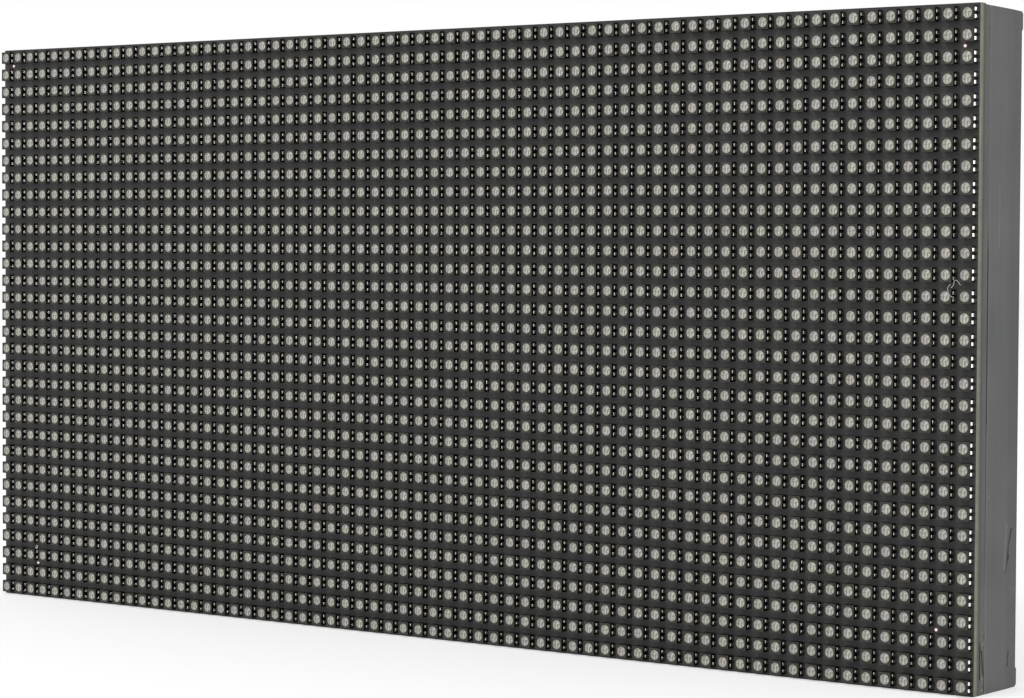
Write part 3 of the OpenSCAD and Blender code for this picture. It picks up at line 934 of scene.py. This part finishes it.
def add_block(bm: bmesh.types.BMesh, middle: Vector, size: Sequence[float],
              edge: float) -> None:
    """Adds a block with bevelled edges.

    Args:
        bm: The mesh to add to.
        middle: The block's middle.
        size: Its three sizes.
        edge: The width of its bevels.
    """
    place = Matrix.Translation(middle) @ Matrix.Diagonal((*size, 1.0))
    verts = bmesh.ops.create_cube(bm, size=1.0, matrix=place)["verts"]
    edges = list({link for vert in verts for link in vert.link_edges})
    bmesh.ops.bevel(bm, geom=edges, offset=edge, segments=1, profile=0.5,
                    affect="EDGES", material=-1)


def add_strip(bm: bmesh.types.BMesh, outline: Sequence[Pair], width: float,
              place: Matrix) -> None:
    """Adds a bent strip, extruded from its side view.

    Args:
        bm: The mesh to add to.
        outline: The side view, as distances outwards (X) and up (Z).
        width: The strip's width, along Y.
        place: Where to put it.
    """
    verts = [bm.verts.new((out, -width / 2, up)) for out, up in outline]
    face = bm.faces.new(verts)
    made = bmesh.ops.extrude_face_region(bm, geom=[face])["geom"]
    far = [item for item in made if isinstance(item, bmesh.types.BMVert)]
    bmesh.ops.translate(bm, verts=far, vec=(0, width, 0))
    bmesh.ops.transform(bm, verts=verts + far, matrix=place)


def piece(name: str, bm: bmesh.types.BMesh, finish: bpy.types.Material) -> bpy.types.Object:
    """Turns a finished mesh into a piece of the module.

    Args:
        name: The piece's name.
        bm: Its mesh, in the part's frame. It is freed.
        finish: Its material.

    Returns:
        The new object, which rides on the module.
    """
    bmesh.ops.recalc_face_normals(bm, faces=bm.faces)
    mesh = bpy.data.meshes.new(name)
    bm.to_mesh(mesh)
    bm.free()
    mesh.shade_smooth()
    mesh.set_sharp_from_angle(angle=SMOOTH_BELOW)
    mesh.materials.append(finish)
    made = bpy.data.objects.new(name, mesh)
    bpy.context.scene.collection.objects.link(made)
    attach(made, "root")
    log.info("made %s: %d faces", name, len(mesh.polygons))
    return made


# ---- Sub-assemblies ---------------------------------------------------------------


@dataclass
class Leds:
    """The LED packages, their lenses and the leads that solder them to the board."""

    grid: Grid
    lead_width: float = 0.46 * MM
    lead_offset: float = 0.5 * MM
    bead_width: float = 0.12 * MM
    bead_offset: float = 0.67 * MM
    knee: float = 0.75 * MM

    def build(self) -> None:
        """Dresses both halves and gives each its leads."""
        package = PackageFinish(self.grid).material()
        lens = LensFinish(self.grid).material()
        for half, first_row in (("lower", 0), ("upper", self.grid.rows // 2)):
            dress(f"led_packages_{half}", package)
            dress(f"led_lenses_{half}", lens)
            self.leads(half, first_row)

    def outline(self) -> list[Pair]:
        """Draws a lead's side view: its sloping knee, a leg that leans in, and its foot.

        Returns:
            The points, as distances outwards and up.
        """
        return [
            (-0.03 * MM, 0.1 * MM),
            (-0.03 * MM, self.knee),
            (0.0, self.knee),
            (0.13 * MM, self.knee - 0.2 * MM),
            (0.14 * MM, self.knee - 0.26 * MM),
            (0.12 * MM, self.knee - 0.32 * MM),
            (0.07 * MM, 0.22 * MM),
            (0.04 * MM, 0.12 * MM),
            (0.04 * MM, 0.0),
            (-0.02 * MM, 0.0),
            (-0.02 * MM, 0.1 * MM),
        ]

    def fillet(self) -> list[Pair]:
        """Draws the side view of the solder bead that runs down from a lead's outer edge.

        Returns:
            The points, as distances outwards and up.
        """
        return [
            (0.0, 0.0),
            (0.0, 0.48 * MM),
            (0.06 * MM, 0.4 * MM),
            (0.11 * MM, 0.24 * MM),
            (0.13 * MM, 0.0),
        ]

    def leads(self, half: str, first_row: int) -> None:
        """Builds one half's leads and solder: four for one LED, repeated over the grid.

        Args:
            half: The half's name.
            first_row: Its lowest row, counted from the bottom.
        """
        height = self.grid.bottom + (first_row + 0.5) * self.grid.pitch
        start = Vector((self.grid.column(0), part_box("led_board")[0].y, height))
        stand = Matrix.Translation(start) @ OUT_OF_FRONT
        shapes = (
            ("leads", self.outline(), self.lead_width, self.lead_offset, Finish.LEAD),
            ("solder", self.fillet(), self.bead_width, self.bead_offset, Finish.LED_SOLDER),
        )
        for kind, outline, width, offset, finish in shapes:
            bm = bmesh.new()
            for side in (0, math.pi):
                for up in (-offset, offset):
                    turn = Matrix.Rotation(side, 4, "Z")
                    shift = Matrix.Translation((self.grid.package_half[0], up, 0))
                    add_strip(bm, outline, width, stand @ turn @ shift)
            made = piece(f"led_{kind}_{half}", bm, finish.material)
            for axis, count in (("X", self.grid.columns), ("Z", self.grid.rows // 2)):
                repeat = made.modifiers.new(f"along_{axis.lower()}", "ARRAY")
                repeat.count = count
                repeat.use_relative_offset = False
                repeat.use_constant_offset = True
                repeat.constant_offset_displace = [
                    self.grid.pitch if axis == name else 0 for name in "XYZ"]


@dataclass(frozen=True)
class Fibre:
    """A curled fibre of lint: its radius, and the columns and rows that it passes."""

    name: str
    radius: float
    course: tuple[Pair, ...]


@dataclass
class Board:
    """The circuit board, its alignment marks and the lint caught between the LEDs."""

    grid: Grid
    mark_radius: float = 0.25 * MM
    ring_radius: float = 0.46 * MM
    mark_height: float = 0.035 * MM
    ring_height: float = 0.014 * MM
    mark_sides: int = 28
    mark_top: float = 0.86
    marks: tuple[Pair, ...] = ((62.7, 1.49), (61.5, 28.5), (0.28, 0.47), (2.25, 29.5))
    fibres: tuple[Fibre, ...] = (
        Fibre("lint_fibre_a", 0.035 * MM,
              ((62.8, 12.47), (62.52, 12.25), (62.42, 12.48), (62.3, 12.6))),
        Fibre("lint_fibre_b", 0.035 * MM,
              ((62.28, 12.42), (62.14, 12.6), (62.16, 12.8), (62.28, 12.97), (62.46, 13.04))),
        Fibre("lint_tuft", 0.07 * MM,
              ((2.44, 28.5), (2.5, 28.62), (2.58, 28.52), (2.5, 28.42))),
    )

    def build(self) -> None:
        """Dresses the board and adds what lies on its front."""
        dress("led_board", BoardFinish(self.grid).material())
        rings, marks = bmesh.new(), bmesh.new()
        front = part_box("led_board")[0].y
        for column, row in self.marks:
            place = Vector((self.grid.column(column), front, self.grid.row(row)))
            self.disc(rings, place, self.ring_radius, self.ring_height)
            self.disc(marks, place, self.mark_radius, self.mark_height)
        piece("alignment_rings", rings, Finish.RING.material)
        piece("alignment_marks", marks, Finish.LEAD.material)
        for fibre in self.fibres:
            self.lint(fibre)

    def disc(self, bm: bmesh.types.BMesh, place: Vector, radius: float, height: float) -> None:
        """Adds a low disc with sloping sides that lies on the board's front.

        Args:
            bm: The mesh to add to.
            place: Its middle, on the board's front.
            radius: Its radius.
            height: How far it stands out of the board.
        """
        facing = Matrix.Translation(place) @ OUT_OF_FRONT
        verts = bmesh.ops.create_circle(bm, cap_ends=True, radius=radius,
                                        segments=self.mark_sides, matrix=facing)["verts"]
        face = next(iter(verts[0].link_faces))
        top = bmesh.ops.extrude_face_region(bm, geom=[face])["geom"]
        rim = [item for item in top if isinstance(item, bmesh.types.BMVert)]
        bmesh.ops.translate(bm, verts=rim, vec=(0, -height, 0))
        bmesh.ops.scale(bm, verts=rim, vec=(self.mark_top, 1, self.mark_top),
                        space=Matrix.Translation(-place))

    def lint(self, fibre: Fibre) -> None:
        """Lays one fibre across the LEDs, sunk by half its radius.

        Args:
            fibre: The fibre.
        """
        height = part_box("led_packages_upper")[0].y + fibre.radius / 2
        curve = bpy.data.curves.new(fibre.name, "CURVE")
        curve.dimensions = "3D"
        curve.bevel_depth = fibre.radius
        curve.bevel_resolution = 1
        curve.use_fill_caps = True
        spline = curve.splines.new("BEZIER")
        spline.bezier_points.add(len(fibre.course) - 1)
        for knot, (column, row) in zip(spline.bezier_points, fibre.course):
            knot.co = (self.grid.column(column), height, self.grid.row(row))
            knot.handle_left_type = knot.handle_right_type = "AUTO"
        path = bpy.data.objects.new(fibre.name + "_path", curve)
        bm = bmesh.new()
        bm.from_mesh(bpy.data.meshes.new_from_object(path))
        bpy.data.objects.remove(path)
        piece(fibre.name, bm, Finish.LINT.material)


@dataclass
class RearFrame:
    """The moulded frame with its inserts, nuts and screws."""

    def build(self) -> None:
        """Dresses the frame and its fixings."""
        dress("rear_frame", FrameFinish().material())
        dress("mounting_inserts", Finish.BRASS.material)
        dress("board_nuts", Finish.TIN.material)
        dress("frame_screws", Finish.ZINC.material)


@dataclass(frozen=True)
class LeadSet:
    """How many leads a chip has on each side, and their size."""

    node: str
    per_side: int
    pitch: float
    width: float
    reach: float = 1.05 * MM


class Package(Enum):
    """The kinds of chip on the board's back."""

    DRIVER = LeadSet("driver_chips", 12, 0.635 * MM, 0.25 * MM)
    SWITCH = LeadSet("row_switch_chips", 4, 1.27 * MM, 0.42 * MM)
    DECODER = LeadSet("row_decoder_chips", 8, 1.27 * MM, 0.42 * MM)
    BUFFER = LeadSet("line_buffer_chips", 10, 1.27 * MM, 0.42 * MM, 1.4 * MM)


@dataclass
class Electronics:
    """The chips, small parts, capacitors and headers on the board's back."""

    lead_thickness: float = 0.18 * MM
    pad_height: float = 0.05 * MM
    pad_edge: float = 0.02 * MM
    pad_out: float = 0.75
    pad_length: float = 0.85
    pad_spread: float = 1.25
    cap_length: float = 0.32 * MM
    cap_skin: float = 0.02 * MM
    cap_edge: float = 0.04 * MM
    cap_foot: float = 0.8 * MM
    cap_foot_out: float = 0.1 * MM
    cap_foot_spread: float = 1.15
    foot_length: float = 1.7 * MM
    foot_inset: float = 0.55 * MM
    ink: float = 0.015 * MM
    ink_margin: float = 0.62 * MM
    ink_from: float = 0.38
    ink_sides: int = 40

    def build(self) -> None:
        """Dresses the CAD nodes and adds leads, pads, end caps and marks."""
        for kind in Package:
            dress(kind.value.node, Finish.CHIP.material)
            self.gull_wings(kind.value)
        dress("current_set_resistors", Finish.RESISTOR.material)
        dress("decoupling_capacitors", Finish.CERAMIC.material)
        self.end_caps("current_set_resistors")
        self.end_caps("decoupling_capacitors")
        for side in ("in", "out"):
            dress(f"signal_{side}_shroud", Finish.HEADER.material)
            dress(f"signal_{side}_pins", Finish.GOLD.material)
            self.feet(f"signal_{side}_pins", 0.9 * MM, two_rows=True)
        dress("power_header", Finish.NYLON.material)
        dress("power_pins", Finish.TIN.material)
        self.feet("power_pins", 1.6 * MM, two_rows=False)
        dress("bulk_capacitor_bases", Finish.HEADER.material)
        dress("bulk_capacitor_cans", Finish.CAN.material)
        dress("bulk_capacitor_tabs", Finish.TIN.material)
        self.polarity_marks()

    def gull_wings(self, leads: LeadSet) -> None:
        """Adds the bent leads and solder pads of every chip of one kind.

        Args:
            leads: The kind's node, count and sizes.
        """
        bm, pads = bmesh.new(), bmesh.new()
        for box in solids(leads.node):
            upright = box.size.z > box.size.x
            half = (box.size.x if upright else box.size.z) / 2
            shoulder = box.size.y / 2
            reach, thick = leads.reach, self.lead_thickness
            outline = [
                (-0.1 * MM, shoulder), (0.28 * reach, shoulder), (0.5 * reach, thick),
                (reach, thick), (reach, 0.0), (0.42 * reach, 0.0),
                (0.2 * reach, shoulder - thick), (-0.1 * MM, shoulder - thick),
            ]
            ground = Vector((box.middle.x, box.low.y, box.middle.z))
            stand = Matrix.Translation(ground) @ OUT_OF_BACK
            for turn in (0, math.pi) if upright else (math.pi / 2, -math.pi / 2):
                for index in range(leads.per_side):
                    along = (index - (leads.per_side - 1) / 2) * leads.pitch
                    shift = Matrix.Translation((half, along, 0))
                    place = stand @ Matrix.Rotation(turn, 4, "Z") @ shift
                    add_strip(bm, outline, leads.width, place)
                    pad = place @ Vector((self.pad_out * reach, 0, self.pad_height / 2))
                    length, spread = self.pad_length * reach, self.pad_spread * leads.width
                    size = (length, self.pad_height, spread)
                    add_block(pads, pad, size if upright else size[::-1], self.pad_edge)
        stem = leads.node.removesuffix("s")
        piece(f"{stem}_leads", bm, Finish.TIN.material)
        piece(f"{stem}_pads", pads, Finish.SOLDER.material)

    def end_caps(self, node: str) -> None:
        """Adds the tinned ends of a node's small parts, and the solder under them.

        Args:
            node: The CAD node's name.
        """
        bm, pads = bmesh.new(), bmesh.new()
        skin = self.cap_skin
        for box in solids(node):
            size = Vector((box.size.x + skin, box.size.y + skin, self.cap_length))
            for end in (-1, 1):
                middle = box.middle.copy()
                middle.z += end * (box.size.z - self.cap_length + skin) / 2
                middle.y += skin / 2
                add_block(bm, middle, size, self.cap_edge)
                foot = Vector((box.middle.x, box.low.y + self.pad_height / 2,
                               box.middle.z + end * (box.size.z / 2 + self.cap_foot_out)))
                width = self.cap_foot_spread * box.size.x
                add_block(pads, foot, (width, self.pad_height, self.cap_foot), self.pad_edge)
        stem = node.removesuffix("s")
        piece(f"{stem}_ends", bm, Finish.TIN.material)
        piece(f"{stem}_pads", pads, Finish.SOLDER.material)

    def feet(self, node: str, width: float, two_rows: bool) -> None:
        """Adds the solder round each foot of a header's pins.

        Args:
            node: The pins' CAD node.
            width: The width of each pad.
            two_rows: Whether the right row's feet point the other way.
        """
        bm = bmesh.new()
        boxes = solids(node)
        centre = sum(box.middle.x for box in boxes) / len(boxes)
        for box in boxes:
            if two_rows and box.middle.x > centre:
                x = box.high.x - self.foot_inset
            else:
                x = box.low.x + self.foot_inset
            middle = Vector((x, box.low.y + self.pad_height / 2, box.middle.z))
            add_block(bm, middle, (self.foot_length, self.pad_height, width), self.pad_edge)
        piece(f"{node}_pads", bm, Finish.SOLDER.material)

    def polarity_marks(self) -> None:
        """Inks the dark segment on top of each bulk capacitor's can."""
        bm = bmesh.new()
        for box in solids("bulk_capacitor_cans"):
            top = Vector((box.middle.x, box.high.y + self.ink / 2, box.middle.z))
            radius = box.size.x / 2 - self.ink_margin
            facing = Matrix.Translation(top) @ OUT_OF_FRONT
            made = bmesh.ops.create_circle(bm, cap_ends=True, radius=radius,
                                           segments=self.ink_sides, matrix=facing)["verts"]
            faces = list({face for vert in made for face in vert.link_faces})
            edges = list({edge for face in faces for edge in face.edges})
            start = top + Vector((self.ink_from * radius, 0, 0))
            bmesh.ops.bisect_plane(bm, geom=made + edges + faces, clear_inner=True,
                                   plane_co=start, plane_no=(1, 0, 0))
        bmesh.ops.solidify(bm, geom=bm.faces[:], thickness=self.ink)
        piece("polarity_marks", bm, Finish.INK.material)


# ---- Studio -----------------------------------------------------------------------


@dataclass
class Studio:
    """The pale floor, the soft lamps, the white surroundings and the camera."""

    floor_size: float = 6.0
    paper: Colour = (0.64, 0.64, 0.64)
    paper_glow: float = 0.44
    paper_roughness: float = 0.9
    paper_gloss: float = 0.1
    surroundings: float = 0.75
    lamp_size: float = 0.9
    aim: Point = (0.0, 0.0, 0.05)
    camera_place: Point = (0.28741, -0.36844, 0.06306)
    camera_turn: Point = (87.8606, -0.2630, 36.8304)
    lens: float = 103.494
    nearest: float = 0.01

    def build(self) -> None:
        """Sets the stage round the module."""
        self.floor()
        self.world()
        self.lamp("key_lamp", (-0.5, -1.3, 1.1), 9.0)
        self.lamp("side_lamp", (1.4, -0.3, 0.4), 6.7)
        self.camera()
        bpy.context.scene.view_settings.view_transform = "Standard"
        log.info("set the studio")

    def white_to_camera(self, tree: bpy.types.NodeTree) -> Socket:
        """Picks out the rays that show the background, in glass and gloss too.

        Args:
            tree: The node tree to add to.

        Returns:
            1 for such a ray, and 0 for others.
        """
        path = tree.nodes.new("ShaderNodeLightPath")
        total = path.outputs["Is Camera Ray"]
        for name in ("Is Glossy Ray", "Is Transmission Ray"):
            node = tree.nodes.new("ShaderNodeMath")
            node.operation = "MAXIMUM"
            tree.links.new(total, node.inputs[0])
            tree.links.new(path.outputs[name], node.inputs[1])
            total = node.outputs[0]
        return total

    def floor(self) -> None:
        """Lays the floor under the module."""
        bm = bmesh.new()
        bmesh.ops.create_grid(bm, x_segments=1, y_segments=1, size=self.floor_size / 2)
        bmesh.ops.translate(bm, verts=bm.verts, vec=(0, 0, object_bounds()[0].z))
        mesh = bpy.data.meshes.new("floor")
        bm.to_mesh(mesh)
        bm.free()
        floor = bpy.data.objects.new("floor", mesh)
        bpy.context.scene.collection.objects.link(floor)
        g = Graph("floor_paper")
        g.set("Base Color", self.paper)
        g.set("Roughness", self.paper_roughness)
        g.set("Specular IOR Level", self.paper_gloss)
        g.set("Emission Color", (1.0, 1.0, 1.0))
        g.set("Emission Strength", g.times(self.white_to_camera(g.tree), self.paper_glow))
        mesh.materials.append(g.material)
        floor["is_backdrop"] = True

    def world(self) -> None:
        """Surrounds the module with even light that looks white to the camera."""
        world = bpy.data.worlds.new("studio")
        world.use_nodes = True
        bpy.context.scene.world = world
        tree = world.node_tree
        background = tree.nodes["Background"]
        background.inputs["Color"].default_value = (1, 1, 1, 1)
        span = tree.nodes.new("ShaderNodeMapRange")
        span.inputs["To Min"].default_value = self.surroundings
        span.inputs["To Max"].default_value = 1.0
        tree.links.new(self.white_to_camera(tree), span.inputs["Value"])
        tree.links.new(span.outputs[0], background.inputs["Strength"])

    def lamp(self, name: str, place: Point, power: float) -> None:
        """Adds a soft square lamp that points at the module.

        Args:
            name: The lamp's name.
            place: Where it hangs.
            power: Its power in watts.
        """
        light = bpy.data.lights.new(name, "AREA")
        light.size = self.lamp_size
        light.energy = power
        lamp = bpy.data.objects.new(name, light)
        lamp.location = place
        towards = Vector(self.aim) - Vector(place)
        lamp.rotation_euler = towards.to_track_quat("-Z", "Y").to_euler()
        bpy.context.scene.collection.objects.link(lamp)

    def camera(self) -> None:
        """Adds the camera and makes it the scene's own."""
        eye = bpy.data.cameras.new("camera")
        eye.lens = self.lens
        eye.clip_start = self.nearest
        camera = bpy.data.objects.new("camera", eye)
        camera.location = self.camera_place
        camera.rotation_euler = [math.radians(turn) for turn in self.camera_turn]
        bpy.context.scene.collection.objects.link(camera)
        bpy.context.scene.camera = camera


def main() -> None:
    """Builds every sub-assembly in order and reports it."""
    logging.basicConfig(level=logging.INFO, format="%(message)s")
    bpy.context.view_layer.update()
    grid = Grid()
    Leds(grid).build()
    Board(grid).build()
    RearFrame().build()
    Electronics().build()
    Studio().build()


if __name__ == "__main__":
    main()
